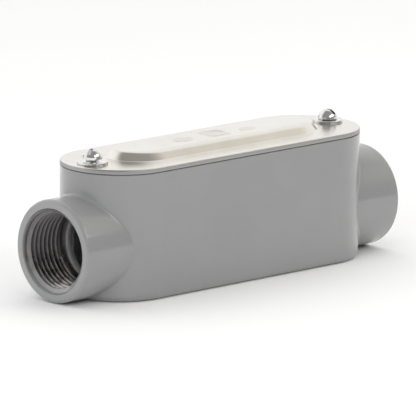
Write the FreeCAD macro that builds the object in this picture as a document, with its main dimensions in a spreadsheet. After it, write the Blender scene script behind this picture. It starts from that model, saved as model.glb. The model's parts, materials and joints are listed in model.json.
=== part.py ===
"""Threaded in-line conduit body with a screwed-on pressed cover.

A die-cast trough with a threaded hub at each end, a sheet cover on a flat gasket, and two slotted
screws on flat washers. The hubs lie along X, +Z is up, and the origin is the middle of the flat
underside. Every driving size is a cell of the "sizes" sheet, in millimetres or degrees.
"""
import FreeCAD, Part
import math
import os
import re
import Sketcher

SIZES = [
    # casting
    ("body_length", 148.2, "trough, end to end, without the hubs"),
    ("body_width", 46.1, "trough, side to side; its ends are half circles"),
    ("rim_height", 50.8, "underside to the rim that carries the gasket"),
    ("wall", 3.2, "trough wall"),
    ("floor", 3.2, "trough floor"),
    ("bottom_round", 2.8, "outer rounding along the underside"),
    ("cavity_round", 3.0, "inner rounding between wall and floor"),
    ("rim_round", 0.35, "outer rounding of the rim"),
    # hubs
    ("hub_radius", 20.5, "outside of a hub"),
    ("hub_axis_height", 20.65, "underside to the hubs' axis"),
    ("hub_reach", 12.4, "hub beyond the end of the trough"),
    ("hub_depth", 24.3, "mouth of a hub to the inner face of its bushing"),
    ("socket_outer_radius", 19.4, "outside of the socket where it stands in the cavity"),
    ("hub_edge_round", 1.4, "outer edge of a hub's mouth"),
    ("hub_blend", 1.5, "blend between a hub and the trough"),
    ("mouth_radius", 17.1, "lead-in at the mouth"),
    ("lead_in", 0.8, "depth of the lead-in"),
    ("socket_radius", 16.6, "major radius of the thread for one-inch conduit"),
    ("socket_depth", 20.3, "mouth to the shoulder of the bushing"),
    ("bushing_radius", 13.0, "smooth throat that the wires pass"),
    ("bushing_round", 1.7, "rounding of both edges of the throat"),
    # cover screws and their bosses
    ("screw_inset", 8.8, "end of the trough to the axis of a cover screw"),
    ("boss_radius", 5.0, "boss around a tapped hole"),
    ("boss_clearance", 0.45, "underside of a boss above the rounding of the throat"),
    ("boss_floor", 3.8, "boss left under a tapped hole"),
    ("tapped_radius", 2.1, "tapped hole for a number 8 screw"),
    # gasket
    ("gasket_thickness", 1.1, "gasket between rim and cover"),
    ("gasket_clearance", 0.25, "gasket's edge to the inside of the skirt"),
    ("gasket_land", 6.0, "axis of a cover screw to the opening over the cavity"),
    ("gasket_opening_corner", 8.0, "corner of that opening"),
    # cover
    ("cover_thickness", 1.0, "sheet of the cover"),
    ("skirt_drop", 0.8, "skirt below the underside of the flange"),
    ("cover_round", 0.6, "bend between flange and skirt, outside"),
    ("plateau_height", 3.35, "raised middle above the flange"),
    ("plateau_screw_gap", 11.0, "axis of a cover screw to the foot of the raised middle"),
    ("plateau_width", 27.2, "raised middle at its foot"),
    ("plateau_corner", 8.5, "corner at the foot, in plan"),
    ("plateau_end_run", 0.9, "run of its end slopes, from foot to top"),
    ("plateau_side_run", 3.8, "run of its side slopes, from foot to top"),
    ("plateau_top_corner", 8.5, "corner at the top, in plan"),
    ("plateau_round", 2.2, "rounding of the top edge"),
    ("plateau_foot_round", 0.4, "rounding at the foot"),
    ("screw_hole_radius", 2.4, "screw holes in cover and gasket"),
    # washers and screws
    ("washer_radius", 6.2, "outside of a washer"),
    ("washer_hole_radius", 2.5, "hole of a washer"),
    ("washer_thickness", 1.0, "a washer"),
    ("washer_round", 0.25, "edges of a washer"),
    ("head_radius", 3.9, "round head"),
    ("head_height", 3.9, "underside of the head to its crown"),
    ("head_edge", 0.9, "upright edge of the head"),
    ("slot_width", 1.4, "slot across the head"),
    ("slot_depth", 1.9, "slot below the crown"),
    ("shank_radius", 2.05, "number 8 thread, over its crests"),
    ("tip_clearance", 1.6, "tip above the bottom of the tapped hole, when tightened"),
    ("tip_chamfer", 0.5, "chamfer of the tip"),
    ("near_head_gap", 1.0, "near head above its washer, not quite tightened"),
    ("far_head_gap", 0.15, "far head above its washer"),
    ("near_slot_turn", 20.0, "degrees from X to the near slot"),
    ("far_slot_turn", 100.0, "degrees from X to the far slot"),
]

# Places worked out from the sheet, as expressions.
HUB_TIP = "(body_length / 2 + hub_reach)"
HUB_INNER_FACE = f"({HUB_TIP} - hub_depth)"
END_CENTRE = "(body_length / 2 - body_width / 2)"
SCREW_OFFSET = "(body_length / 2 - screw_inset)"
BOSS_UNDERSIDE = "(hub_axis_height + bushing_radius + bushing_round + boss_clearance)"
TAPPED_BOTTOM = f"({BOSS_UNDERSIDE} + boss_floor)"
FLANGE_UNDERSIDE = "(rim_height + gasket_thickness)"
FLANGE_TOP = f"({FLANGE_UNDERSIDE} + cover_thickness)"
SKIRT_EDGE = f"({FLANGE_UNDERSIDE} - skirt_drop)"
WASHER_TOP = f"({FLANGE_TOP} + washer_thickness)"
SHANK_LENGTH = f"({WASHER_TOP} - {TAPPED_BOTTOM} - tip_clearance)"
PLATEAU_REACH = f"({SCREW_OFFSET} - plateau_screw_gap)"
# A sheet's inner face at the foot and top of a slope lies this far inside the outer one.
SIDE_INSET = "(cover_thickness * tan(atan(plateau_height / plateau_side_run) / 2))"
END_INSET = "(cover_thickness * tan(atan(plateau_height / plateau_end_run) / 2))"

# The sketcher's own numbers for the points of a piece, and for the sketch's axes.
START, END, CENTRE = range(1, 4)
X_AXIS, Y_AXIS = range(-1, -3, -1)
ORIGIN = X_AXIS
Z = FreeCAD.Vector(0, 0, 1)
NEAR = 1e-4


def make_sheet():
    """The sheet of driving sizes: name, value and meaning in each row."""
    sheet = doc.addObject("Spreadsheet::Sheet", "sizes")
    for row, (alias, size, meaning) in enumerate(SIZES, start=1):
        sheet.set(f"A{row}", alias)
        sheet.set(f"B{row}", str(size))
        sheet.setAlias(f"B{row}", alias)
        sheet.set(f"C{row}", meaning)
    doc.recompute()
    return sheet


def from_sheet(expression):
    """The expression with each size's name pointing at its cell."""
    names = {alias for alias, _, _ in SIZES}
    return re.sub(
        r"[a-z_]\w*",
        lambda word: "sizes." + word.group() if word.group() in names else word.group(),
        str(expression),
    )


def value(expression):
    """What an expression of sizes comes to now."""
    return float(sheet.evalExpression(from_sheet(expression)))


def bind(item, prop, expression):
    item.setExpression(prop, from_sheet(expression))


def new_body(label):
    body = doc.addObject("PartDesign::Body", label)
    body.Label = label
    return body


def origin_plane(body, role):
    return next(item for item in body.Origin.OriginFeatures if item.Role == role)


def new_sketch(body, label, role="XY_Plane", offset=None):
    """A sketch on one of the body's own origin planes. offset is {"x", "y" or "z": expression} in
    the plane's own axes."""
    sketch = body.newObject("Sketcher::SketchObject", label)
    sketch.AttachmentSupport = [(origin_plane(body, role), "")]
    sketch.MapMode = "FlatFace"
    for axis, expression in (offset or {}).items():
        bind(sketch, f"AttachmentOffset.Base.{axis}", expression)
    doc.recompute()
    return sketch


def constrain(sketch, kind, *place, to=None):
    """One constraint. to is the expression that drives it, where it has a size."""
    if to is None:
        return sketch.addConstraint(Sketcher.Constraint(kind, *place))
    index = sketch.addConstraint(Sketcher.Constraint(kind, *place, value(to)))
    bind(sketch, f"Constraints[{index}]", to)
    return index


def place_point(sketch, geometry, end, across, up):
    """Holds a point at (across, up) from the sketch's origin."""
    for kind, axis, expression in (("DistanceX", Y_AXIS, across), ("DistanceY", X_AXIS, up)):
        if expression == 0:
            constrain(sketch, "PointOnObject", geometry, end, axis)
        else:
            constrain(sketch, kind, geometry, end, to=expression)


def vector(across, up):
    return FreeCAD.Vector(value(across), value(up), 0)


def draw_circle(sketch, radius, across=0):
    circle = sketch.addGeometry(Part.Circle(vector(across, 0), Z, value(radius)))
    place_point(sketch, circle, CENTRE, across, 0)
    constrain(sketch, "Radius", circle, to=radius)


def draw_stadium(sketch, centre, radius):
    """Two half circles about (-centre, 0) and (centre, 0), joined by straight sides."""
    middle, size = value(centre), value(radius)
    corners = [(middle, size), (-middle, size), (-middle, -size), (middle, -size)]
    points = [FreeCAD.Vector(x, y, 0) for x, y in corners]
    right_circle = Part.Circle(FreeCAD.Vector(middle, 0, 0), Z, size)
    left_circle = Part.Circle(FreeCAD.Vector(-middle, 0, 0), Z, size)
    right, top, left, bottom = sketch.addGeometry([
        Part.ArcOfCircle(right_circle, -math.pi / 2, math.pi / 2),
        Part.LineSegment(points[0], points[1]),
        Part.ArcOfCircle(left_circle, math.pi / 2, 3 * math.pi / 2),
        Part.LineSegment(points[2], points[3]),
    ])
    ring = [right, top, left, bottom]
    for first, second in zip(ring, ring[1:] + ring[:1]):
        constrain(sketch, "Tangent", first, END, second, START)
    constrain(sketch, "Symmetric", right, CENTRE, left, CENTRE, ORIGIN, START)
    constrain(sketch, "PointOnObject", right, CENTRE, X_AXIS)
    constrain(sketch, "Equal", right, left)
    constrain(sketch, "Radius", right, to=radius)
    constrain(sketch, "DistanceX", right, CENTRE, to=centre)


def draw_rounded_rectangle(sketch, half_length, half_width, corner):
    """A rectangle about the origin with four equal round corners."""
    long, wide, round_ = value(half_length), value(half_width), value(corner)
    arcs = []
    sides = []
    for turn in range(4):
        x_sign = 1 if turn in (0, 3) else -1
        y_sign = 1 if turn in (0, 1) else -1
        centre = FreeCAD.Vector(x_sign * (long - round_), y_sign * (wide - round_), 0)
        begin = turn * math.pi / 2
        circle = Part.Circle(centre, Z, round_)
        arcs.append(sketch.addGeometry(Part.ArcOfCircle(circle, begin, begin + math.pi / 2)))
    for turn in range(4):
        start = sketch.getPoint(arcs[turn], END)
        stop = sketch.getPoint(arcs[(turn + 1) % 4], START)
        sides.append(sketch.addGeometry(Part.LineSegment(start, stop)))
    for turn in range(4):
        constrain(sketch, "Tangent", arcs[turn], END, sides[turn], START)
        constrain(sketch, "Tangent", sides[turn], END, arcs[(turn + 1) % 4], START)
    top, left, bottom, right = sides
    constrain(sketch, "Horizontal", top)
    constrain(sketch, "Vertical", left)
    constrain(sketch, "Horizontal", bottom)
    constrain(sketch, "Vertical", right)
    for other in arcs[1:]:
        constrain(sketch, "Equal", arcs[0], other)
    constrain(sketch, "Symmetric", arcs[0], CENTRE, arcs[2], CENTRE, ORIGIN, START)
    constrain(sketch, "Radius", arcs[0], to=corner)
    constrain(sketch, "DistanceX", right, START, to=half_length)
    constrain(sketch, "DistanceY", top, START, to=half_width)


def draw_profile(sketch, corners):
    """A closed outline through corners, each (across, up) as expressions. A corner with a third
    item is reached by an arc centred on the sketch's upright axis."""
    pieces = []
    for index, corner in enumerate(corners):
        start = vector(*corners[index - 1][:2])
        stop = vector(*corner[:2])
        if len(corner) == 3:
            rise = abs(stop.y - start.y)
            run = abs(stop.x - start.x)
            radius = (rise * rise + run * run) / (2 * rise)
            circle = Part.Circle(FreeCAD.Vector(0, max(start.y, stop.y) - radius, 0), Z, radius)
            lean = math.acos((radius - rise) / radius)
            arc = Part.ArcOfCircle(circle, math.pi / 2 - lean, math.pi / 2)
            pieces.append(sketch.addGeometry(arc))
            constrain(sketch, "PointOnObject", pieces[-1], CENTRE, Y_AXIS)
        else:
            pieces.append(sketch.addGeometry(Part.LineSegment(start, stop)))
    for index, piece in enumerate(pieces):
        constrain(sketch, "Coincident", pieces[index - 1], END, piece, START)
        place_point(sketch, piece, END, *corners[index][:2])


def draw_tongue(sketch, nose, root, radius):
    """A tongue along X: a half circle about (nose, 0) and straight sides that end at x = root."""
    nose_x, root_x, size = value(nose), value(root), value(radius)
    circle = Part.Circle(FreeCAD.Vector(nose_x, 0, 0), Z, size)
    arc = sketch.addGeometry(Part.ArcOfCircle(circle, -math.pi / 2, math.pi / 2))
    points = [(nose_x, size), (root_x, size), (root_x, -size), (nose_x, -size)]
    vectors = [FreeCAD.Vector(x, y, 0) for x, y in points]
    upper, back, lower = sketch.addGeometry(
        [Part.LineSegment(first, second) for first, second in zip(vectors, vectors[1:])]
    )
    constrain(sketch, "Tangent", arc, END, upper, START)
    constrain(sketch, "Coincident", upper, END, back, START)
    constrain(sketch, "Coincident", back, END, lower, START)
    constrain(sketch, "Tangent", lower, END, arc, START)
    constrain(sketch, "Horizontal", upper)
    constrain(sketch, "Horizontal", lower)
    constrain(sketch, "Vertical", back)
    constrain(sketch, "PointOnObject", arc, CENTRE, X_AXIS)
    constrain(sketch, "Radius", arc, to=radius)
    constrain(sketch, "DistanceX", arc, CENTRE, to=nose)
    constrain(sketch, "DistanceX", back, START, to=root)


def add_feature(body, kind, label, sketch=None, sizes=None, **settings):
    """A PartDesign feature. sizes is {property: expression}."""
    feature = body.newObject(f"PartDesign::{kind}", label)
    if sketch is not None:
        feature.Profile = sketch
        sketch.Visibility = False
    for prop, setting in settings.items():
        setattr(feature, prop, setting)
    for prop, expression in (sizes or {}).items():
        bind(feature, prop, expression)
    doc.recompute()
    return feature


def add_edge_feature(body, kind, label, base, test, size):
    """A Fillet or Chamfer of the base's edges that pass the test."""
    names = [
        f"Edge{number}"
        for number, edge in enumerate(base.Shape.Edges, start=1)
        if test(edge)
    ]
    prop = "Radius" if kind == "Fillet" else "Size"
    feature = body.newObject(f"PartDesign::{kind}", label)
    feature.Base = (base, names)
    bind(feature, prop, size)
    doc.recompute()
    return feature


def mirror_ends(body, label, originals):
    """The same features at the other end of the trough."""
    feature = body.newObject("PartDesign::Mirrored", label)
    feature.Originals = originals
    feature.MirrorPlane = (origin_plane(body, "YZ_Plane"), [""])
    body.Tip = feature
    doc.recompute()
    return feature


def lies_at(edge, height):
    """Whether the whole edge is level at this height."""
    box = edge.BoundBox
    return abs(box.ZMin - height) < NEAR and abs(box.ZMax - height) < NEAR


def is_ring(edge, radius, along=None):
    """Whether the edge is a circle of this radius about a hub's axis, at x = +along or -along."""
    if not isinstance(edge.Curve, Part.Circle):
        return False
    on_axis = abs(abs(edge.Curve.Axis.x) - 1) < NEAR
    same = abs(edge.Curve.Radius - radius) < NEAR
    return on_axis and same and (along is None or abs(abs(edge.Curve.Center.x) - along) < NEAR)


def is_outermost(edge):
    """Whether an edge of the stadium outline is on the trough's outside, not its inside."""
    if isinstance(edge.Curve, Part.Circle):
        return abs(edge.Curve.Radius - value("body_width / 2")) < NEAR
    return abs(abs(edge.CenterOfMass.y) - value("body_width / 2")) < NEAR


def is_hub_foot(edge):
    """Whether the edge is where a hub's outside meets the trough."""
    half_length = value("body_length / 2")
    box = edge.BoundBox
    if max(-box.XMin, box.XMax) > half_length + NEAR:
        return False
    height, radius = value("hub_axis_height"), value("hub_radius")
    first, last = edge.ParameterRange
    samples = [edge.valueAt(first + (last - first) * step / 8) for step in range(9)]
    return all(abs(math.hypot(at.y, at.z - height) - radius) < 10 * NEAR for at in samples)


def make_casting():
    """The trough, its two hubs, their threaded sockets and bushings, and the screw bosses."""
    body = new_body("body_casting")
    outline = new_sketch(body, "trough_outline")
    draw_stadium(outline, END_CENTRE, "body_width / 2")
    trough = add_feature(body, "Pad", "trough", outline, {"Length": "rim_height"})
    trough = add_edge_feature(
        body, "Fillet", "bottom_rounding", trough, lambda edge: lies_at(edge, 0), "bottom_round"
    )
    hub_profile = new_sketch(body, "hub_profile", "XZ_Plane", {"y": "hub_axis_height"})
    draw_profile(hub_profile, [
        (f"-{HUB_TIP}", 0),
        (f"-{HUB_TIP}", "hub_radius"),
        (f"-{END_CENTRE}", "hub_radius"),
        (f"-{END_CENTRE}", 0),
    ])
    hub = add_feature(
        body, "Revolution", "hub", hub_profile, ReferenceAxis=(hub_profile, ["H_Axis"])
    )
    hubs = mirror_ends(body, "far_hub", [hub])
    radius = value("hub_radius")
    tip = value(HUB_TIP)
    hubs = add_edge_feature(body, "Fillet", "hub_blends", hubs, is_hub_foot, "hub_blend")
    add_edge_feature(
        body, "Fillet", "hub_edges", hubs, lambda edge: is_ring(edge, radius, tip), "hub_edge_round"
    )
    cavity_outline = new_sketch(body, "cavity_outline", offset={"z": "rim_height"})
    draw_stadium(cavity_outline, END_CENTRE, "body_width / 2 - wall")
    cavity = add_feature(
        body, "Pocket", "cavity", cavity_outline, {"Length": "rim_height - floor"}
    )
    floor = value("floor")
    rim = value("rim_height")
    cavity = add_edge_feature(
        body, "Fillet", "cavity_rounding", cavity, lambda edge: lies_at(edge, floor), "cavity_round"
    )
    add_edge_feature(
        body, "Fillet", "rim_rounding", cavity,
        lambda edge: lies_at(edge, rim) and is_outermost(edge), "rim_round",
    )
    socket_profile = new_sketch(body, "socket_profile", "XZ_Plane", {"y": "hub_axis_height"})
    draw_profile(socket_profile, [
        ("-(body_length / 2 - wall / 2)", 0),
        ("-(body_length / 2 - wall / 2)", "socket_outer_radius"),
        (f"-{HUB_INNER_FACE}", "socket_outer_radius"),
        (f"-{HUB_INNER_FACE}", 0),
    ])
    socket = add_feature(
        body, "Revolution", "socket", socket_profile, ReferenceAxis=(socket_profile, ["H_Axis"])
    )
    boss_outline = new_sketch(body, "boss_outline", offset={"z": "rim_height"})
    draw_tongue(boss_outline, f"-{SCREW_OFFSET}", "-(body_length / 2 - wall / 2)", "boss_radius")
    boss = add_feature(
        body, "Pad", "boss", boss_outline, {"Length": f"rim_height - {BOSS_UNDERSIDE}"},
        Reversed=True,
    )
    mirror_ends(body, "far_socket_and_boss", [socket, boss])
    bore_profile = new_sketch(body, "bore_profile", "XZ_Plane", {"y": "hub_axis_height"})
    draw_profile(bore_profile, [
        (f"-{HUB_TIP}", 0),
        (f"-{HUB_TIP}", "mouth_radius"),
        (f"-({HUB_TIP} - lead_in)", "socket_radius"),
        (f"-({HUB_TIP} - socket_depth)", "socket_radius"),
        (f"-({HUB_TIP} - socket_depth)", "bushing_radius"),
        (f"-{HUB_INNER_FACE}", "bushing_radius"),
        (f"-{HUB_INNER_FACE}", 0),
    ])
    bore = add_feature(
        body, "Groove", "bore", bore_profile, ReferenceAxis=(bore_profile, ["H_Axis"])
    )
    hole_centre = new_sketch(body, "tapped_hole_centre", offset={"z": "rim_height"})
    draw_circle(hole_centre, "tapped_radius", f"-{SCREW_OFFSET}")
    hole = add_feature(
        body, "Hole", "tapped_hole", hole_centre,
        {"Diameter": "2 * tapped_radius", "Depth": f"rim_height - {TAPPED_BOTTOM}"},
        DepthType="Dimension", DrillPoint="Angled",
    )
    bores = mirror_ends(body, "far_bore_and_hole", [bore, hole])
    throat = value("bushing_radius")
    add_edge_feature(
        body, "Fillet", "bushing_edges", bores, lambda edge: is_ring(edge, throat), "bushing_round"
    )
    return body


def make_gasket():
    """A flat ring inside the cover's skirt, closed over the bosses, with two screw holes."""
    body = new_body("gasket")
    outline = new_sketch(body, "gasket_outline", offset={"z": "rim_height"})
    draw_stadium(outline, END_CENTRE, "body_width / 2 - cover_thickness - gasket_clearance")
    add_feature(body, "Pad", "gasket_sheet", outline, {"Length": "gasket_thickness"})
    opening = new_sketch(body, "opening_outline", offset={"z": "rim_height"})
    draw_rounded_rectangle(
        opening, f"{SCREW_OFFSET} - gasket_land", "body_width / 2 - wall", "gasket_opening_corner"
    )
    add_feature(
        body, "Pocket", "opening", opening, {"Length": "gasket_thickness"}, Reversed=True
    )
    holes = new_sketch(body, "screw_hole_circles", offset={"z": "rim_height"})
    for side in ("-", ""):
        draw_circle(holes, "screw_hole_radius", f"{side}{SCREW_OFFSET}")
    add_feature(
        body, "Pocket", "screw_holes", holes, {"Length": "gasket_thickness"}, Reversed=True
    )
    return body


def make_cover():
    """A pressed sheet cover: flange, turned-down skirt and raised middle, all of one thickness."""
    body = new_body("cover")
    outline = new_sketch(body, "flange_outline", offset={"z": SKIRT_EDGE})
    draw_stadium(outline, END_CENTRE, "body_width / 2")
    add_feature(body, "Pad", "flange", outline, {"Length": "skirt_drop + cover_thickness"})
    foot = new_sketch(body, "plateau_foot", offset={"z": FLANGE_TOP})
    draw_rounded_rectangle(foot, PLATEAU_REACH, "plateau_width / 2", "plateau_corner")
    top = new_sketch(body, "plateau_top", offset={"z": f"{FLANGE_TOP} + plateau_height"})
    draw_rounded_rectangle(
        top,
        f"{PLATEAU_REACH} - plateau_end_run",
        "plateau_width / 2 - plateau_side_run",
        "plateau_top_corner",
    )
    plateau = add_feature(body, "AdditiveLoft", "plateau", foot, Sections=[top], Ruled=True)
    crown = value(f"{FLANGE_TOP} + plateau_height")
    flange_top = value(FLANGE_TOP)
    rounded = add_edge_feature(
        body, "Fillet", "plateau_rounding", plateau, lambda edge: lies_at(edge, crown),
        "plateau_round",
    )
    rounded = add_edge_feature(
        body, "Fillet", "foot_rounding", rounded,
        lambda edge: lies_at(edge, flange_top) and not is_outermost(edge), "plateau_foot_round",
    )
    add_edge_feature(
        body, "Fillet", "flange_bend", rounded,
        lambda edge: lies_at(edge, flange_top) and is_outermost(edge), "cover_round",
    )
    skirt_inside = new_sketch(body, "skirt_inside", offset={"z": SKIRT_EDGE})
    draw_stadium(skirt_inside, END_CENTRE, "body_width / 2 - cover_thickness")
    add_feature(body, "Pocket", "skirt", skirt_inside, {"Length": "skirt_drop"}, Reversed=True)
    inner_foot = new_sketch(body, "plateau_inner_foot", offset={"z": FLANGE_UNDERSIDE})
    draw_rounded_rectangle(
        inner_foot,
        f"{PLATEAU_REACH} - {END_INSET}",
        f"plateau_width / 2 - {SIDE_INSET}",
        f"plateau_corner - {SIDE_INSET}",
    )
    inner_top = new_sketch(
        body, "plateau_inner_top", offset={"z": f"{FLANGE_UNDERSIDE} + plateau_height"}
    )
    draw_rounded_rectangle(
        inner_top,
        f"{PLATEAU_REACH} - plateau_end_run - {END_INSET}",
        f"plateau_width / 2 - plateau_side_run - {SIDE_INSET}",
        f"plateau_top_corner - {SIDE_INSET}",
    )
    hollow = add_feature(
        body, "SubtractiveLoft", "plateau_hollow", inner_foot, Sections=[inner_top], Ruled=True
    )
    ceiling = value(f"{FLANGE_UNDERSIDE} + plateau_height")
    add_edge_feature(
        body, "Fillet", "hollow_rounding", hollow, lambda edge: lies_at(edge, ceiling),
        "plateau_round - cover_thickness",
    )
    holes = new_sketch(body, "screw_hole_circles", offset={"z": FLANGE_TOP})
    for side in ("-", ""):
        draw_circle(holes, "screw_hole_radius", f"{side}{SCREW_OFFSET}")
    add_feature(body, "Pocket", "screw_holes", holes, {"Length": "cover_thickness"})
    return body


def make_washer(label, side):
    """A flat washer on the cover's flange. side is "-" for the near end and "" for the far one."""
    body = new_body(label)
    ring = new_sketch(body, "ring_circles")
    draw_circle(ring, "washer_radius")
    draw_circle(ring, "washer_hole_radius")
    plate = add_feature(body, "Pad", "ring", ring, {"Length": "washer_thickness"})
    add_edge_feature(
        body, "Fillet", "edges", plate, lambda edge: isinstance(edge.Curve, Part.Circle),
        "washer_round",
    )
    bind(body, "Placement.Base.x", f"{side}{SCREW_OFFSET}")
    bind(body, "Placement.Base.z", FLANGE_TOP)
    return body


def make_screw(label, side, gap, slot_turn):
    """A slotted round-head screw. Its own origin is on the axis, level with the head's underside."""
    body = new_body(label)
    profile = new_sketch(body, "half_section", "XZ_Plane")
    draw_profile(profile, [
        (0, f"-{SHANK_LENGTH}"),
        ("shank_radius - tip_chamfer", f"-{SHANK_LENGTH}"),
        ("shank_radius", f"-({SHANK_LENGTH} - tip_chamfer)"),
        ("shank_radius", 0),
        ("head_radius", 0),
        ("head_radius", "head_edge"),
        (0, "head_height", "arc"),
    ])
    add_feature(body, "Revolution", "turned", profile, ReferenceAxis=(profile, ["V_Axis"]))
    slot_outline = new_sketch(body, "slot_outline", offset={"z": "head_height"})
    draw_rounded_rectangle(
        slot_outline, "head_radius + slot_width", "slot_width / 2", "slot_width / 4"
    )
    add_feature(body, "Pocket", "slot", slot_outline, {"Length": "slot_depth"})
    bind(body, "Placement.Base.x", f"{side}{SCREW_OFFSET}")
    bind(body, "Placement.Base.z", f"{WASHER_TOP} + {gap}")
    body.Placement.Rotation = FreeCAD.Rotation(Z, value(slot_turn))
    bind(body, "Placement.Rotation.Angle", slot_turn)
    return body


def check_and_export(parts):
    """Stops on any failed object or unsound solid, and otherwise writes each sub-part."""
    for item in doc.Objects:
        if {"Invalid", "Error"} & set(item.State):
            raise RuntimeError(f"{item.Label} failed: {item.State}")
    for part in parts:
        shape = part.Shape
        if shape.isNull() or not shape.isValid() or len(shape.Solids) != 1:
            raise RuntimeError(f"{part.Label} isn't one sound solid")
    os.makedirs("parts", exist_ok=True)
    for part in parts:
        part.Shape.exportStep(f"parts/{part.Label}.step")
        box = part.Shape.BoundBox
        print(f"{part.Label}: {part.Shape.Volume:.1f} mm3, z {box.ZMin:.2f} to {box.ZMax:.2f}")


doc = FreeCAD.newDocument("conduit_body")
sheet = make_sheet()
parts = [
    make_casting(),
    make_gasket(),
    make_cover(),
    make_washer("near_washer", "-"),
    make_washer("far_washer", ""),
    make_screw("near_screw", "-", "near_head_gap", "near_slot_turn"),
    make_screw("far_screw", "", "far_head_gap", "far_slot_turn"),
]
doc.recompute()
check_and_export(parts)
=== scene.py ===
"""Looks of a threaded conduit body: satin grey casting, pressed metal cover, plated cover screws.

Casting, gasket and washers keep their CAD shapes and get procedural finishes. Built here are the
pipe threads in both hubs, the cover with the soft rounding of drawn sheet, the plain raised panels
on it, and the cover screws with their real threads. This cover and these screws stand in for the
CAD's. Lengths are in metres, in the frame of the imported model.
"""

import json
import math

import bmesh
import bpy
from mathutils import Matrix, Vector


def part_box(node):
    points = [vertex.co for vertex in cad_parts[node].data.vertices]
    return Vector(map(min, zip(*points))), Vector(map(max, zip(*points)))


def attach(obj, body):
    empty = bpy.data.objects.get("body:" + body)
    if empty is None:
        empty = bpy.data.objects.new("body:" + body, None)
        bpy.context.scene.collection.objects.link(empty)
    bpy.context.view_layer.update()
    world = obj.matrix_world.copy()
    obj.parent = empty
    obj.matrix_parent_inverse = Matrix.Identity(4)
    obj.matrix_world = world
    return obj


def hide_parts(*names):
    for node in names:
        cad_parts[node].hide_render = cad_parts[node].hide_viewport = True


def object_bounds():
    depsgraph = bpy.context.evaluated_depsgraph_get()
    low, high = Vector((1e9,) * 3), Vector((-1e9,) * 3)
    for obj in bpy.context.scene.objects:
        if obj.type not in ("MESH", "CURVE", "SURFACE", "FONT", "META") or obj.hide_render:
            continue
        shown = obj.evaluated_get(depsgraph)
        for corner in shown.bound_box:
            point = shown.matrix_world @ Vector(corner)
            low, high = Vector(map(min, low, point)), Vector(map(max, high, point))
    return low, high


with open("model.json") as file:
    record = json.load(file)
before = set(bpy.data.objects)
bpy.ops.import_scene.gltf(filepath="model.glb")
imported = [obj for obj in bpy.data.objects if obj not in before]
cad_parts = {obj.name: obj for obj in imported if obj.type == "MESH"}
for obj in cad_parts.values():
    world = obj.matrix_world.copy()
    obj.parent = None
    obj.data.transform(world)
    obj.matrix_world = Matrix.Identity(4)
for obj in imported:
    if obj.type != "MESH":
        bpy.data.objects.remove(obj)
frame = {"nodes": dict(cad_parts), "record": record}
cad_low, cad_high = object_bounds()

MM = 0.001
INCH = 25.4 * MM
TURN = 2 * math.pi

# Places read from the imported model.
near_hub = next(mount for mount in frame["record"]["mounts"] if mount["name"] == "near_hub")
HUB_AXIS_HEIGHT = near_hub["pos_m"][2]
SOCKET_RADIUS = near_hub["dims"]["r_mm"] * MM
HUB_TIP = cad_high.x
SOCKET_DEPTH = HUB_TIP + near_hub["pos_m"][0] + near_hub["dims"]["length_mm"] / 2 * MM
cover_low, cover_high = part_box("cover")
CROWN = cover_high.z
FLANGE_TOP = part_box("near_washer")[0].z

# Shape of both threads: half of a crest's flat as a share of the pitch.
FLAT_SHARE = 0.07

# One-inch taper pipe thread, 11.5 turns an inch. Start and end are depths from the hub's tip, and
# the taper and both chamfers are slopes: radius lost for each unit of depth. A ridge reaches one
# skin into the socket's wall, and the roots stand one skin out of it.
PIPE_PITCH = INCH / 11.5
PIPE_TAPER = 1 / 32
PIPE_THREAD_START = 0.1 * MM
PIPE_THREAD_END = 19.6 * MM
PIPE_THREAD_DEPTH = 1.55 * MM
PIPE_THREAD_SKIN = 0.04 * MM
PIPE_THREAD_STEPS = 120
MOUTH_RADIUS = 17.1 * MM
MOUTH_CHAMFER = 0.625
CREST_CHAMFER = 1.1

# Number 8 machine screw, 32 turns an inch. Its ridge grows from the tip, ends before a bare neck
# and is sunk into the core; half of its foot is a share of the pitch, and at its ends the least
# share of that is left. The core is chamfered at the tip and flares into the head. What stands
# out farther than HEAD_OVERHANG crest radii belongs to the head.
SCREW_PITCH = INCH / 32
SCREW_ROOT_RADIUS = 1.62 * MM
SCREW_CREST_RADIUS = 2.05 * MM
SCREW_THREAD_STEPS = 48
RIDGE_FOOT_SHARE = 0.44
RIDGE_LEAST_SHARE = 0.05
RIDGE_SUNK = 0.1 * MM
TIP_CHAMFER = 0.45 * MM
TIP_GROWTH = 0.6 * MM
NECK_BARE = 0.1 * MM
NECK_GROWTH = 0.9 * MM
NECK_LENGTH = 0.5 * MM
NECK_FLARE = 0.3 * MM
HEAD_OVERLAP = 0.02 * MM
HEAD_OVERHANG = 1.2
SEAT_CLEARANCE = 0.01 * MM

# Pressed cover: one sheet, whose raised middle, the plateau, blends more softly than the solid's
# and has elliptic corners. A run is how far its slope leads inwards, and its underside is moved
# in by UNDERSIDE_INSET. Margins are flat strips beside a bend.
SHEET_THICKNESS = 1.0 * MM
SHEET_BEND = 0.6 * MM
PLATEAU_HALF_LENGTH = 54.3 * MM
PLATEAU_HALF_WIDTH = 13.6 * MM
PLATEAU_CORNER_LENGTH = 17.0 * MM
PLATEAU_CORNER_WIDTH = 13.4 * MM
PLATEAU_SIDE_RUN = 3.8 * MM
PLATEAU_END_RUN = 2.2 * MM
PLATEAU_TOP_ROUND = 5.0 * MM
PLATEAU_FOOT_ROUND = 0.6 * MM
PLATEAU_MARGIN = 0.2 * MM
UNDERSIDE_INSET = 0.4 * MM
BEND_MARGIN = 0.15 * MM
SCREW_HOLE_RADIUS = 2.4 * MM
CORNER_STEPS = 16
HOLE_STEPS = 32
BEND_STEPS = 6
TOP_STEPS = 12
SAME_PLACE = 0.001 * MM

# Raised panels on the cover: superellipses, whose exponent is 1 for an oval and less for a square.
OVAL = 1.0
SQUARE = 0.28
PANEL_SOFT_EDGE = 0.5 * MM
PANEL_SUNK = 0.02 * MM
PANEL_EDGE_STEPS = 5
PANEL_STEPS = 96

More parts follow.
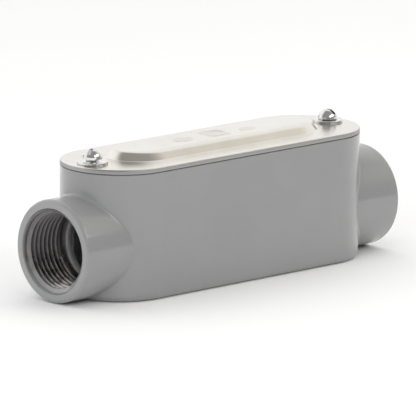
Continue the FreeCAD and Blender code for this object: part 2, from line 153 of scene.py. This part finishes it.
# Finishes.
PAINT = (0.262, 0.266, 0.264, 1)
PAINT_LIGHT = (0.278, 0.282, 0.280, 1)
PAINT_SPECK = (0.15, 0.15, 0.148, 1)
CUT_METAL = (0.56, 0.53, 0.51, 1)
CUT_METAL_STAINED = (0.16, 0.145, 0.14, 1)
# Dark overspray in the hub bores, also laid on their upper wall as painted shade.
OVERSPRAY_AND_SHADE = (0.150, 0.140, 0.142, 1)
SHEET = (0.83, 0.805, 0.755, 1)
SHEET_DULL = (0.77, 0.745, 0.69, 1)
# Dark grey of the cover's turned-down skirt, painted shade.
SKIRT_SHADE = (0.42, 0.42, 0.41, 1)
SHEET_STRUCK = (0.78, 0.755, 0.70, 1)
SHEET_STRUCK_DULL = (0.70, 0.675, 0.62, 1)
PLATE_CLOUDED = (0.70, 0.70, 0.69, 1)
PLATE = (0.84, 0.84, 0.82, 1)
RUBBER = (0.15, 0.15, 0.15, 1)
RUBBER_DUSTY = (0.23, 0.228, 0.225, 1)
FLOOR = (0.95, 0.95, 0.95, 1)
FLOOR_LIGHT = (0.97, 0.97, 0.97, 1)

# Studio: colours of what surrounds the object, brighter than 1 where a panel shines.
ROOM = (0.30, 0.30, 0.31, 1)
CEILING = (0.33, 0.325, 0.31, 1)
WARM_REFLECTOR = (0.80, 0.755, 0.67, 1)
BACKDROP = (1, 1, 1, 1)
LEFT_PANELS = (1.12, 1.12, 1.12, 1)
DARK_FLAG = (0.15, 0.15, 0.15, 1)
LAMP_AIM = Vector((0, 0, 0.03))
FLOOR_REACH = 4.0

# Camera, far off and with a long lens. The azimuth of where it looks runs from +X to +Y.
CAMERA_AZIMUTH = math.radians(45.3)
CAMERA_ELEVATION = math.radians(12.13)
CAMERA_ROLL = math.radians(0.68)
CAMERA_DISTANCE = 3.176
CAMERA_AIM = Vector((3.0, 4.6, 25.1)) * MM
CAMERA_LENS = 692.3
CAMERA_SENSOR = 36


# ---------------------------------------------------------------- node graphs

class Graph:
    """A material's or world's node tree, with short calls for the nodes used here."""

    def __init__(self, tree):
        self.tree = tree
        tree.nodes.clear()

    def node(self, kind, inputs=None, **settings):
        """A node. inputs is {socket name or number: value, or a socket to link from}."""
        made = self.tree.nodes.new(kind)
        for name, setting in settings.items():
            setattr(made, name, setting)
        for name, source in (inputs or {}).items():
            if isinstance(source, bpy.types.NodeSocket):
                self.tree.links.new(source, made.inputs[name])
            else:
                made.inputs[name].default_value = source
        return made

    def math(self, operation, *values):
        return self.node(
            "ShaderNodeMath", dict(enumerate(values)), operation=operation
        ).outputs[0]

    def ramp(self, source, low, high, to_low=0.0, to_high=1.0):
        """source taken smoothly from low..high to to_low..to_high, held at both ends."""
        return self.node(
            "ShaderNodeMapRange",
            {0: source, 1: low, 2: high, 3: to_low, 4: to_high},
            interpolation_type="SMOOTHSTEP",
        ).outputs[0]

    def spread(self, noise, to_low=0.0, to_high=1.0):
        """The usual values of a noise, 0.3 to 0.7, taken to to_low..to_high."""
        return self.ramp(noise, 0.3, 0.7, to_low, to_high)

    def noise(self, coordinates, scale, detail=2.0, roughness=0.5):
        return self.node(
            "ShaderNodeTexNoise",
            {"Vector": coordinates, "Scale": scale, "Detail": detail, "Roughness": roughness},
        ).outputs["Fac"]

    def stretched(self, coordinates, scale):
        """The coordinates multiplied along each axis."""
        return self.node("ShaderNodeMapping", {"Vector": coordinates, "Scale": scale}).outputs[0]

    def colour_mix(self, share, one, other):
        return self.node(
            "ShaderNodeMix", {0: share, 6: one, 7: other}, data_type="RGBA"
        ).outputs[2]

    def bump(self, height, distance, strength, normal=None):
        inputs = {"Height": height, "Distance": distance, "Strength": strength}
        if normal is not None:
            inputs["Normal"] = normal
        return self.node("ShaderNodeBump", inputs).outputs[0]

    def principled(self, inputs):
        return self.node("ShaderNodeBsdfPrincipled", inputs).outputs[0]

    def shader_mix(self, share, one, other):
        return self.node("ShaderNodeMixShader", {0: share, 1: one, 2: other}).outputs[0]

    def object_coordinates(self):
        """Object coordinates, which move with the piece, and their three parts."""
        place = self.node("ShaderNodeTexCoord").outputs["Object"]
        parts = self.node("ShaderNodeSeparateXYZ", {0: place}).outputs
        return place, parts

    def output(self, shader):
        self.node("ShaderNodeOutputMaterial", {"Surface": shader})


def new_material(name):
    material = bpy.data.materials.new(name)
    material.use_nodes = True
    return material, Graph(material.node_tree)


# ---------------------------------------------------------------- finishes

def paint_shader(graph, place):
    """Smooth satin enamel over a die casting: faint mottling, fine orange peel, rare specks."""
    mottle = graph.ramp(graph.noise(place, scale=28, detail=3), 0.35, 0.65)
    colour = graph.colour_mix(mottle, PAINT, PAINT_LIGHT)
    cells = graph.node("ShaderNodeTexVoronoi", {"Vector": place, "Scale": 62})
    speck = graph.ramp(cells.outputs["Distance"], 0.030, 0.052, 1, 0)
    chosen = graph.node("ShaderNodeSeparateColor", {0: cells.outputs["Color"]}).outputs[0]
    speck = graph.math("MULTIPLY", speck, graph.ramp(chosen, 0.80, 0.86, 0, 0.55))
    colour = graph.colour_mix(speck, colour, PAINT_SPECK)
    rough = graph.spread(graph.noise(place, scale=210, detail=4), 0.34, 0.42)
    waves = graph.bump(graph.noise(place, scale=55), distance=0.1 * MM, strength=0.6)
    grains = graph.noise(place, scale=1500)
    peel = graph.bump(grains, distance=0.01 * MM, strength=0.4, normal=waves)
    return graph.principled({
        "Base Color": colour,
        "Roughness": rough,
        "Normal": peel,
        "Coat Weight": 1.0,
        "Coat Roughness": 0.06,
    })


def machined_shader(graph, place, depth, up):
    """Cut metal in a hub: lathe lines at right angles to the axis, stained in patches, and darkened
    towards the top of the bore by dark overspray and painted shade, which lie thinnest along the
    bottom, where the bare metal shows bright as if lit from above."""
    stain = graph.ramp(graph.noise(place, scale=320, detail=4), 0.40, 0.68)
    metal = graph.colour_mix(stain, CUT_METAL, CUT_METAL_STAINED)
    along_axis = graph.node("ShaderNodeCombineXYZ", {0: depth}).outputs[0]
    lines = graph.noise(along_axis, scale=9000, detail=3, roughness=0.7)
    cut = graph.bump(lines, distance=0.02 * MM, strength=0.5)
    bare = graph.principled({
        "Base Color": metal,
        "Metallic": 1.0,
        "Roughness": graph.spread(lines, 0.20, 0.36),
        "Normal": cut,
    })
    shaded_overspray = graph.principled({
        "Base Color": OVERSPRAY_AND_SHADE,
        "Roughness": graph.spread(lines, 0.32, 0.46),
        "Normal": cut,
    })
    ragged = graph.math("MULTIPLY", graph.noise(place, scale=420, detail=4), 9 * MM)
    # Painted shade: the upper wall of the bore takes the dark overspray colour and the bottom is
    # left bare and bright, as where light from above falls.
    shade_above = graph.ramp(graph.math("ADD", up, ragged), -6 * MM, 5 * MM, 0.08, 0.94)
    return graph.shader_mix(shade_above, bare, shaded_overspray)


def casting_material():
    """Enamel everywhere, thinning out over the first turns of the hub threads to cut metal. It
    reaches deepest along the bottom of the bore."""
    material, graph = new_material("satin_enamel")
    place, (x, y, z) = graph.object_coordinates()
    depth = graph.math("SUBTRACT", HUB_TIP, graph.math("ABSOLUTE", x))
    up = graph.math("SUBTRACT", z, HUB_AXIS_HEIGHT)
    y_squared = graph.math("MULTIPLY", y, y)
    up_squared = graph.math("MULTIPLY", up, up)
    radius = graph.math("SQRT", graph.math("ADD", y_squared, up_squared))
    inside = graph.ramp(radius, SOCKET_RADIUS + 0.1 * MM, SOCKET_RADIUS + 0.2 * MM, 1, 0)
    ragged = graph.math("MULTIPLY", graph.noise(place, scale=240, detail=3), 3.2 * MM)
    settled = graph.ramp(up, -14 * MM, -3 * MM, 3.5 * MM, 0)
    worn = graph.math("SUBTRACT", graph.math("ADD", depth, ragged), settled)
    beyond_paint = graph.ramp(worn, -0.6 * MM, 5.0 * MM)
    before_end = graph.ramp(depth, SOCKET_DEPTH + 0.1 * MM, SOCKET_DEPTH + 0.4 * MM, 1, 0)
    bare = graph.math("MULTIPLY", graph.math("MULTIPLY", inside, beyond_paint), before_end)
    paint = paint_shader(graph, place)
    metal = machined_shader(graph, place, depth, up)
    graph.output(graph.shader_mix(bare, paint, metal))
    return material


def cover_material(name, dull, bright, dulling=0.0):
    """Warm white satin metal: fine rolling lines along the sheet, and a rougher skirt coloured dark
    grey as painted shade.
    """
    material, graph = new_material(name)
    place, (_, _, z) = graph.object_coordinates()
    along_sheet = graph.stretched(place, scale=(60, 2600, 2600))
    grain = graph.noise(along_sheet, scale=1, detail=3, roughness=0.6)
    patches = graph.noise(place, scale=45, detail=3)
    colour = graph.colour_mix(graph.spread(patches), dull, bright)
    skirt_wobble = graph.math("MULTIPLY", graph.noise(place, scale=900, detail=3), 0.3 * MM)
    wobbled_height = graph.math("ADD", z, skirt_wobble)
    skirt = graph.ramp(wobbled_height, FLANGE_TOP - 0.25 * MM, FLANGE_TOP + 0.05 * MM, 1, 0)
    # Painted shade: below a wavering line just under the flange's top, the skirt is coloured dark
    # grey; it is also made rougher.
    colour = graph.colour_mix(skirt, colour, SKIRT_SHADE)
    rough = graph.ramp(grain, 0.25, 0.75, 0.17 + dulling, 0.24 + dulling)
    rough = graph.math("ADD", rough, graph.math("MULTIPLY", skirt, 0.25))
    waves = graph.bump(graph.noise(place, scale=70), distance=0.03 * MM, strength=0.6)
    lines = graph.bump(grain, distance=0.002 * MM, strength=0.4, normal=waves)
    graph.output(graph.principled({
        "Base Color": colour,
        "Metallic": 1.0,
        "Roughness": rough,
        "Normal": lines,
    }))
    return material


def fastener_material():
    """Bright zinc plate on steel."""
    material, graph = new_material("bright_plate")
    place, _ = graph.object_coordinates()
    cloud = graph.spread(graph.noise(place, scale=900, detail=3))
    colour = graph.colour_mix(cloud, PLATE_CLOUDED, PLATE)
    rough = graph.spread(graph.noise(place, scale=1600, detail=4), 0.05, 0.15)
    dents = graph.bump(graph.noise(place, scale=700), distance=0.02 * MM, strength=0.5)
    graph.output(graph.principled({
        "Base Color": colour,
        "Metallic": 1.0,
        "Roughness": rough,
        "Normal": dents,
    }))
    return material


def gasket_material():
    """Dull dark sheet rubber with a fine pebbled surface, greyed by dust."""
    material, graph = new_material("sheet_rubber")
    place, _ = graph.object_coordinates()
    dust = graph.ramp(graph.noise(place, scale=400, detail=4), 0.4, 0.75)
    colour = graph.colour_mix(dust, RUBBER, RUBBER_DUSTY)
    pebbles = graph.bump(graph.noise(place, scale=2600), distance=0.03 * MM, strength=0.6)
    rough = graph.spread(graph.noise(place, scale=700), 0.6, 0.8)
    graph.output(graph.principled({
        "Base Color": colour,
        "Roughness": rough,
        "Normal": pebbles,
    }))
    return material


def floor_material():
    material, graph = new_material("pale_floor")
    place, _ = graph.object_coordinates()
    patches = graph.spread(graph.noise(place, scale=3))
    graph.output(graph.principled({
        "Base Color": graph.colour_mix(patches, FLOOR, FLOOR_LIGHT),
        "Roughness": 0.8,
        "Specular IOR Level": 0.2,
    }))
    return material


def dress(node, material):
    """Gives a CAD node its finish."""
    mesh = frame["nodes"][node].data
    mesh.materials.clear()
    mesh.materials.append(material)


# ---------------------------------------------------------------- pieces

def link_piece(work, mesh, material):
    """The piece whose shape is held in work. It takes the name of its mesh."""
    work.to_mesh(mesh)
    work.free()
    mesh.materials.append(material)
    piece = bpy.data.objects.new(mesh.name, mesh)
    bpy.context.scene.collection.objects.link(piece)
    return piece


def new_piece(name, vertices, faces, material):
    mesh = bpy.data.meshes.new(name)
    mesh.from_pydata(vertices, [], faces)
    work = bmesh.new()
    work.from_mesh(mesh)
    bmesh.ops.recalc_face_normals(work, faces=work.faces)
    return link_piece(work, mesh, material)


def shade_smooth(piece, sharp_degrees=38):
    """Smooth shading, with edges sharper than the angle kept."""
    mesh = piece.data
    mesh.polygons.foreach_set("use_smooth", [True] * len(mesh.polygons))
    mesh.set_sharp_from_angle(angle=math.radians(sharp_degrees))


def smooth_step(at, low, high):
    """0 up to low, 1 from high on, and a soft rise between them."""
    share = min(max((at - low) / (high - low), 0), 1)
    return share * share * (3 - 2 * share)


def ring_numbers(first, count):
    """The numbers of a ring's vertices, which makes a face that caps it."""
    return tuple(range(first, first + count))


def band_faces(first, count):
    """Quads between the ring of count vertices from number first on and the ring after it."""
    faces = []
    for spot in range(count):
        after = (spot + 1) % count
        faces.append((first + spot, first + after, first + count + after, first + count + spot))
    return faces


def helix_mesh(length, pitch, profile, steps_a_turn):
    """Vertices and faces of a closed ridge wound right-handed about Z from z = 0 to length.
    profile(z) gives the ring of (offset along the axis, radius) points of the cross-section."""
    vertices = []
    faces = []
    steps = round(length / pitch * steps_a_turn)
    for step in range(steps + 1):
        along = length * step / steps
        angle = TURN * along / pitch
        ring = profile(along)
        for offset, radius in ring:
            vertices.append((radius * math.cos(angle), radius * math.sin(angle), along + offset))
        if step:
            faces += band_faces((step - 1) * len(ring), len(ring))
    faces.append(ring_numbers(0, len(ring)))
    faces.append(ring_numbers(steps * len(ring), len(ring))[::-1])
    return vertices, faces


def make_pipe_thread(name, end, material):
    """The taper thread in a hub, cut right-handed, at the -X (end = -1) or +X end. Its ridges stand
    inwards from the socket's wall, are chamfered at the mouth and run out before the shoulder."""
    length = PIPE_THREAD_END - PIPE_THREAD_START
    half = PIPE_PITCH / 2
    flat = FLAT_SHARE * PIPE_PITCH
    skin = PIPE_THREAD_SKIN

    def profile(along):
        depth = PIPE_THREAD_START + along
        buried = max(SOCKET_RADIUS, MOUTH_RADIUS - MOUTH_CHAMFER * depth) + skin
        root = buried - 2 * skin - PIPE_TAPER * along
        height = PIPE_THREAD_DEPTH * smooth_step(length - along, 0, PIPE_PITCH)
        crest = min(max(root - height, MOUTH_RADIUS - CREST_CHAMFER * depth), root - skin)
        ring = [
            (-half, buried), (-half, root), (-half + flat, root - skin),
            (-flat, crest + skin), (0, crest), (flat, crest + skin),
            (half - flat, root - skin), (half, root), (half, buried),
        ]
        return [(max(offset, skin - depth), radius) for offset, radius in ring]

    vertices, faces = helix_mesh(length, PIPE_PITCH, profile, PIPE_THREAD_STEPS)
    piece = new_piece(name, vertices, faces, material)
    start = Matrix.Translation((end * (HUB_TIP - PIPE_THREAD_START), 0, HUB_AXIS_HEIGHT))
    inwards = Matrix.Rotation(-end * math.pi / 2, 4, "Y")
    piece.data.transform(start @ inwards)
    shade_smooth(piece)
    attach(piece, "root")


def screw_shank_mesh(length):
    """Vertices and faces of a threaded shank that rises from z = 0 to its head at length."""

    def profile(along):
        grown = smooth_step(along, 0, TIP_GROWTH)
        grown *= smooth_step(length - along, NECK_BARE, NECK_GROWTH)
        crest = SCREW_ROOT_RADIUS + (SCREW_CREST_RADIUS - SCREW_ROOT_RADIUS) * grown
        half = SCREW_PITCH * RIDGE_FOOT_SHARE * max(grown, RIDGE_LEAST_SHARE)
        flat = SCREW_PITCH * FLAT_SHARE
        sunk = SCREW_ROOT_RADIUS - RIDGE_SUNK
        return [(-half, sunk), (-flat, crest), (flat, crest), (half, sunk)]

    ridge, faces = helix_mesh(length - SCREW_PITCH, SCREW_PITCH, profile, SCREW_THREAD_STEPS)
    vertices = [(x, y, z + SCREW_PITCH / 2) for x, y, z in ridge]
    core = [
        (SCREW_ROOT_RADIUS - TIP_CHAMFER, 0),
        (SCREW_ROOT_RADIUS, TIP_CHAMFER),
        (SCREW_ROOT_RADIUS, length - NECK_LENGTH),
        (SCREW_ROOT_RADIUS + NECK_FLARE, length + HEAD_OVERLAP),
    ]
    rings = [len(vertices) + ring * SCREW_THREAD_STEPS for ring in range(len(core))]
    for radius, height in core:
        for step in range(SCREW_THREAD_STEPS):
            angle = TURN * step / SCREW_THREAD_STEPS
            vertices.append((radius * math.cos(angle), radius * math.sin(angle), height))
    for first in rings[:-1]:
        faces += band_faces(first, SCREW_THREAD_STEPS)
    faces.append(ring_numbers(rings[0], SCREW_THREAD_STEPS)[::-1])
    faces.append(ring_numbers(rings[-1], SCREW_THREAD_STEPS))
    return vertices, faces


def make_screw(node, body, material):
    """A cover screw with its head as the CAD node has it and a real thread for a shank."""
    source = frame["nodes"][node].data
    low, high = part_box(node)
    axis = (low + high) / 2

    def from_axis(corner):
        return math.hypot(corner.co.x - axis.x, corner.co.y - axis.y)

    past_shank = HEAD_OVERHANG * SCREW_CREST_RADIUS
    underside = min(corner.co.z for corner in source.vertices if from_axis(corner) > past_shank)
    work = bmesh.new()
    work.from_mesh(source)
    seam = underside - HEAD_OVERLAP
    shank = [face for face in work.faces if face.calc_center_median().z < seam]
    bmesh.ops.delete(work, geom=shank, context="FACES")
    for corner in work.verts:
        if corner.co.z < underside + SEAT_CLEARANCE:
            corner.co.z += SEAT_CLEARANCE
    head = link_piece(work, bpy.data.meshes.new(node + "_threaded"), material)

    vertices, faces = screw_shank_mesh(underside - low.z)
    thread = new_piece(node + "_shank", vertices, faces, material)
    thread.data.transform(Matrix.Translation((axis.x, axis.y, low.z)))
    for piece in (head, thread):
        shade_smooth(piece)
        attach(piece, body)
    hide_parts(node)


# ---------------------------------------------------------------- pressed cover

def arc(radius, angle, steps):
    """(sideways, drop) of points along an arc that starts level and turns by angle."""
    turns = [angle * step / steps for step in range(steps + 1)]
    return [(radius * math.sin(turn), radius * (1 - math.cos(turn))) for turn in turns]


def rounded_ring(half_length, half_width, corner_length, corner_width, height):
    """Points round a rectangle with elliptic corners, anticlockwise from its +X end."""
    points = []
    for quarter, (x_side, y_side) in enumerate(((1, 1), (-1, 1), (-1, -1), (1, -1))):
        for step in range(CORNER_STEPS + 1):
            angle = (quarter + step / CORNER_STEPS) * TURN / 4
            points.append((
                x_side * (half_length - corner_length) + corner_length * math.cos(angle),
                y_side * (half_width - corner_width) + corner_width * math.sin(angle),
                height,
            ))
    return points


def stadium_ring(inset, height):
    """The cover's outline, a rectangle between half circles, moved in by inset."""
    half_width = cover_high.y - inset
    return rounded_ring(cover_high.x - inset, half_width, half_width, half_width, height)


def plateau_profile():
    """(run inwards, height) from just outside the foot to just inside the top edge."""
    height = CROWN - FLANGE_TOP
    slope = math.atan2(height, PLATEAU_SIDE_RUN)
    foot = PLATEAU_FOOT_ROUND * math.tan(slope / 2)
    top = PLATEAU_SIDE_RUN + PLATEAU_TOP_ROUND * math.tan(slope / 2)
    foot_arc = arc(PLATEAU_FOOT_ROUND, slope, BEND_STEPS)
    top_arc = reversed(arc(PLATEAU_TOP_ROUND, slope, TOP_STEPS))
    return [
        (-foot - PLATEAU_MARGIN, 0),
        *((sideways - foot, rise) for sideways, rise in foot_arc),
        *((top - sideways, height - drop) for sideways, drop in top_arc),
        (top + PLATEAU_MARGIN, height),
    ]


def plateau_rings(inset, drop):
    """The raised middle as rings from foot to top, moved in by inset and down by drop."""
    rings = []
    for run, height in plateau_profile():
        end_run = run * PLATEAU_END_RUN / PLATEAU_SIDE_RUN
        rings.append(rounded_ring(
            PLATEAU_HALF_LENGTH - end_run - inset,
            PLATEAU_HALF_WIDTH - run - inset,
            PLATEAU_CORNER_LENGTH - end_run - inset,
            PLATEAU_CORNER_WIDTH - run - inset,
            FLANGE_TOP + height - drop,
        ))
    return rings


def rim_rings(underside):
    """The rim as rings: the flange's edge, the bend, and the skirt's outside and inside."""
    bend = arc(SHEET_BEND, TURN / 4, BEND_STEPS)
    profile = [
        (SHEET_BEND + BEND_MARGIN, FLANGE_TOP),
        *((SHEET_BEND - sideways, FLANGE_TOP - drop) for sideways, drop in bend),
        (0, cover_low.z),
        (SHEET_THICKNESS, cover_low.z),
        (SHEET_THICKNESS, underside),
    ]
    return [stadium_ring(inset, height) for inset, height in profile]


def hole_ring(side, height):
    """The edge of a screw hole, which stands under the washer on that side."""
    low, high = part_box(f"{side}_washer")
    centre = (low + high) / 2
    points = []
    for step in range(HOLE_STEPS):
        angle = TURN * step / HOLE_STEPS
        points.append((
            centre.x + SCREW_HOLE_RADIUS * math.cos(angle),
            SCREW_HOLE_RADIUS * math.sin(angle),
            height,
        ))
    return points


def add_loop(work, points):
    """New vertices for a closed ring of points. Points in the same place share one."""
    corners = [work.verts.new(point) for point in points]
    bmesh.ops.remove_doubles(work, verts=corners, dist=SAME_PLACE)
    return [corner for corner in corners if corner.is_valid]


def add_wall(work, loops):
    """Quads between consecutive loops, which have equally many vertices."""
    for one, other in zip(loops, loops[1:]):
        for spot in range(len(one)):
            after = (spot + 1) % len(one)
            work.faces.new((one[spot], one[after], other[after], other[spot]))


def add_flat(work, loops):
    """The flat face between an outer loop and the loops inside it."""
    edges = []
    for corners in loops:
        for spot, corner in enumerate(corners):
            ends = (corner, corners[(spot + 1) % len(corners)])
            edges.append(work.edges.get(ends) or work.edges.new(ends))
    bmesh.ops.triangle_fill(work, edges=edges, use_beauty=True, normal=(0, 0, 1))


def make_cover(material):
    """The pressed sheet cover: flange with screw holes, turned-down skirt and soft raised middle."""
    work = bmesh.new()
    underside = FLANGE_TOP - SHEET_THICKNESS
    rim = [add_loop(work, ring) for ring in rim_rings(underside)]
    outer = [add_loop(work, ring) for ring in plateau_rings(0, 0)]
    inner = [add_loop(work, ring) for ring in plateau_rings(UNDERSIDE_INSET, SHEET_THICKNESS)]
    tops = []
    bottoms = []
    for side in ("near", "far"):
        tops.append(add_loop(work, hole_ring(side, FLANGE_TOP)))
        bottoms.append(add_loop(work, hole_ring(side, underside)))
        add_wall(work, [tops[-1], bottoms[-1]])
    for loops in (rim, outer, inner):
        add_wall(work, loops)
    work.faces.new(outer[-1])
    work.faces.new(inner[-1])
    add_flat(work, [rim[0], outer[0]] + tops)
    add_flat(work, [rim[-1], inner[0]] + bottoms)
    bmesh.ops.recalc_face_normals(work, faces=work.faces)
    piece = link_piece(work, bpy.data.meshes.new("cover_pressed"), material)
    shade_smooth(piece, sharp_degrees=30)
    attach(piece, "root")
    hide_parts("cover")


def superellipse(angle, squareness):
    """A point on the superellipse of half size 1."""
    across, along = math.cos(angle), math.sin(angle)
    return (
        math.copysign(abs(across) ** squareness, across),
        math.copysign(abs(along) ** squareness, along),
    )


def make_emboss(name, material, centre, length, width, height, squareness):
    """A shallow plain panel with soft edges, raised from the cover's top."""
    vertices = []
    faces = []
    for step in range(PANEL_EDGE_STEPS + 1):
        share = step / PANEL_EDGE_STEPS
        inset = PANEL_SOFT_EDGE * share
        up = height * smooth_step(share, 0, 1) - PANEL_SUNK * (1 - share)
        for spot in range(PANEL_STEPS):
            across, along = superellipse(TURN * spot / PANEL_STEPS, squareness)
            vertices.append((
                centre[0] + across * (length / 2 - inset),
                centre[1] + along * (width / 2 - inset),
                CROWN + up,
            ))
        if step:
            faces += band_faces((step - 1) * PANEL_STEPS, PANEL_STEPS)
    faces.append(ring_numbers(PANEL_EDGE_STEPS * PANEL_STEPS, PANEL_STEPS))
    faces.append(ring_numbers(0, PANEL_STEPS)[::-1])
    piece = new_piece(name, vertices, faces, material)
    shade_smooth(piece, sharp_degrees=60)
    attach(piece, "root")


def make_embosses(material):
    """Two ovals and a square, where the real cover has its lettering."""
    make_emboss(
        "emboss_near", material, centre=(-17 * MM, -1 * MM),
        length=10.5 * MM, width=7 * MM, height=0.16 * MM, squareness=OVAL,
    )
    make_emboss(
        "emboss_middle", material, centre=(1.5 * MM, 0),
        length=11 * MM, width=10 * MM, height=0.22 * MM, squareness=SQUARE,
    )
    make_emboss(
        "emboss_far", material, centre=(18 * MM, -1.5 * MM),
        length=9 * MM, width=5 * MM, height=0.16 * MM, squareness=OVAL,
    )


# ---------------------------------------------------------------- light, floor and camera

def make_camera():
    """The photograph's camera. Returns the direction from it to the origin."""
    view = Vector((
        math.cos(CAMERA_AZIMUTH) * math.cos(CAMERA_ELEVATION),
        math.sin(CAMERA_AZIMUTH) * math.cos(CAMERA_ELEVATION),
        -math.sin(CAMERA_ELEVATION),
    ))
    place = -CAMERA_DISTANCE * view
    forward = (CAMERA_AIM - place).normalized()
    level = forward.cross(Vector((0, 0, 1))).normalized()
    right = Matrix.Rotation(-CAMERA_ROLL, 3, forward) @ level
    up = right.cross(forward)
    data = bpy.data.cameras.new("camera")
    data.lens = CAMERA_LENS
    data.sensor_width = CAMERA_SENSOR
    data.clip_start = 0.1
    data.clip_end = 50
    camera = bpy.data.objects.new("camera", data)
    turn = Matrix((right, up, -forward)).transposed()
    camera.matrix_world = Matrix.Translation(place) @ turn.to_4x4()
    bpy.context.scene.collection.objects.link(camera)
    bpy.context.scene.camera = camera
    return view


def make_world(view):
    """A studio of soft-edged shapes for metal and enamel to mirror: a white backdrop ahead that
    reaches up above the object, white panels on the left with a small dark flag in front of them,
    a warm reflector high on the right, and a dimmer room with a slightly warm ceiling."""
    world = bpy.data.worlds.new("studio")
    world.use_nodes = True
    bpy.context.scene.world = world
    graph = Graph(world.node_tree)
    direction = graph.node("ShaderNodeTexCoord").outputs["Generated"]
    climb_sine = graph.node("ShaderNodeSeparateXYZ", {0: direction}).outputs[2]
    ahead = Vector((view.x, view.y, 0)).normalized()

    def disc(turn, climb, edge, full):
        """A disc turn degrees to the left of ahead and climb degrees up. edge and full are the
        cosines of the angles from its middle where it begins to show and where it is full."""
        aim = Matrix.Rotation(math.radians(turn), 3, "Z") @ ahead
        aim = aim * math.cos(math.radians(climb))
        aim.z = math.sin(math.radians(climb))
        nearness = graph.node(
            "ShaderNodeVectorMath", {0: direction, 1: tuple(aim)}, operation="DOT_PRODUCT"
        ).outputs["Value"]
        return graph.ramp(nearness, edge, full)

    below_top = graph.ramp(climb_sine, 0.62, 0.78, 1, 0)
    backdrop = graph.math("MULTIPLY", disc(-9, 0, 0.64, 0.70), below_top)
    backdrop = graph.math("MAXIMUM", backdrop, disc(-5, 40, 0.78, 0.96))
    left_panels = graph.math("MAXIMUM", disc(60, 22, 0.64, 0.96), disc(98, 0, 0.88, 0.96))
    flag = disc(51, 0, 0.970, 0.99)
    reflector = disc(-50, 42, 0.72, 0.98)
    ceiling = graph.ramp(climb_sine, 0.66, 0.97)
    studio = graph.colour_mix(reflector, ROOM, WARM_REFLECTOR)
    studio = graph.colour_mix(ceiling, studio, CEILING)
    studio = graph.colour_mix(backdrop, studio, BACKDROP)
    studio = graph.colour_mix(left_panels, studio, LEFT_PANELS)
    studio = graph.colour_mix(flag, studio, DARK_FLAG)
    lit = graph.node("ShaderNodeBackground", {"Color": studio, "Strength": 1.0})
    graph.node("ShaderNodeOutputWorld", {"Surface": lit.outputs[0]})


def make_lamp(name, place, size, power, glossy):
    """An area lamp aimed at the object. glossy says whether surfaces mirror it."""
    data = bpy.data.lights.new(name, "AREA")
    data.shape = "RECTANGLE"
    data.size, data.size_y = size
    data.energy = power
    lamp = bpy.data.objects.new(name, data)
    lamp.location = place
    lamp.rotation_mode = "QUATERNION"
    lamp.rotation_quaternion = (LAMP_AIM - Vector(place)).to_track_quat("-Z", "Y")
    lamp.visible_glossy = glossy
    bpy.context.scene.collection.objects.link(lamp)


def make_lamps():
    make_lamp("key_strip", (0.45, -1.6, 1.30), size=(2.2, 0.75), power=10, glossy=True)
    make_lamp("left_fill", (-1.8, -0.7, 0.8), size=(1.6, 1.2), power=12, glossy=False)
    make_lamp("overhead", (0.2, 0.1, 1.8), size=(2.8, 2.8), power=18.5, glossy=False)


def make_floor():
    """A pale floor, seen as plain white, that keeps a soft shadow under the object."""
    reach = FLOOR_REACH
    corners = [(-reach, -reach, 0), (reach, -reach, 0), (reach, reach, 0), (-reach, reach, 0)]
    floor = new_piece("floor", corners, [(0, 1, 2, 3)], floor_material())


def main():
    casting = casting_material()
    sheet = cover_material("satin_sheet", SHEET_DULL, SHEET)
    struck = cover_material("struck_sheet", SHEET_STRUCK_DULL, SHEET_STRUCK, dulling=0.06)
    plate = fastener_material()
    dress("body_casting", casting)
    dress("gasket", gasket_material())
    make_cover(sheet)
    for end, side in ((-1, "near"), (1, "far")):
        dress(f"{side}_washer", plate)
        make_pipe_thread(f"{side}_hub_thread", end, casting)
        make_screw(f"{side}_screw", f"{side}_screw_body", plate)
    make_embosses(struck)
    make_world(make_camera())
    make_lamps()
    make_floor()
    bpy.context.scene.view_settings.view_transform = "Standard"


main()
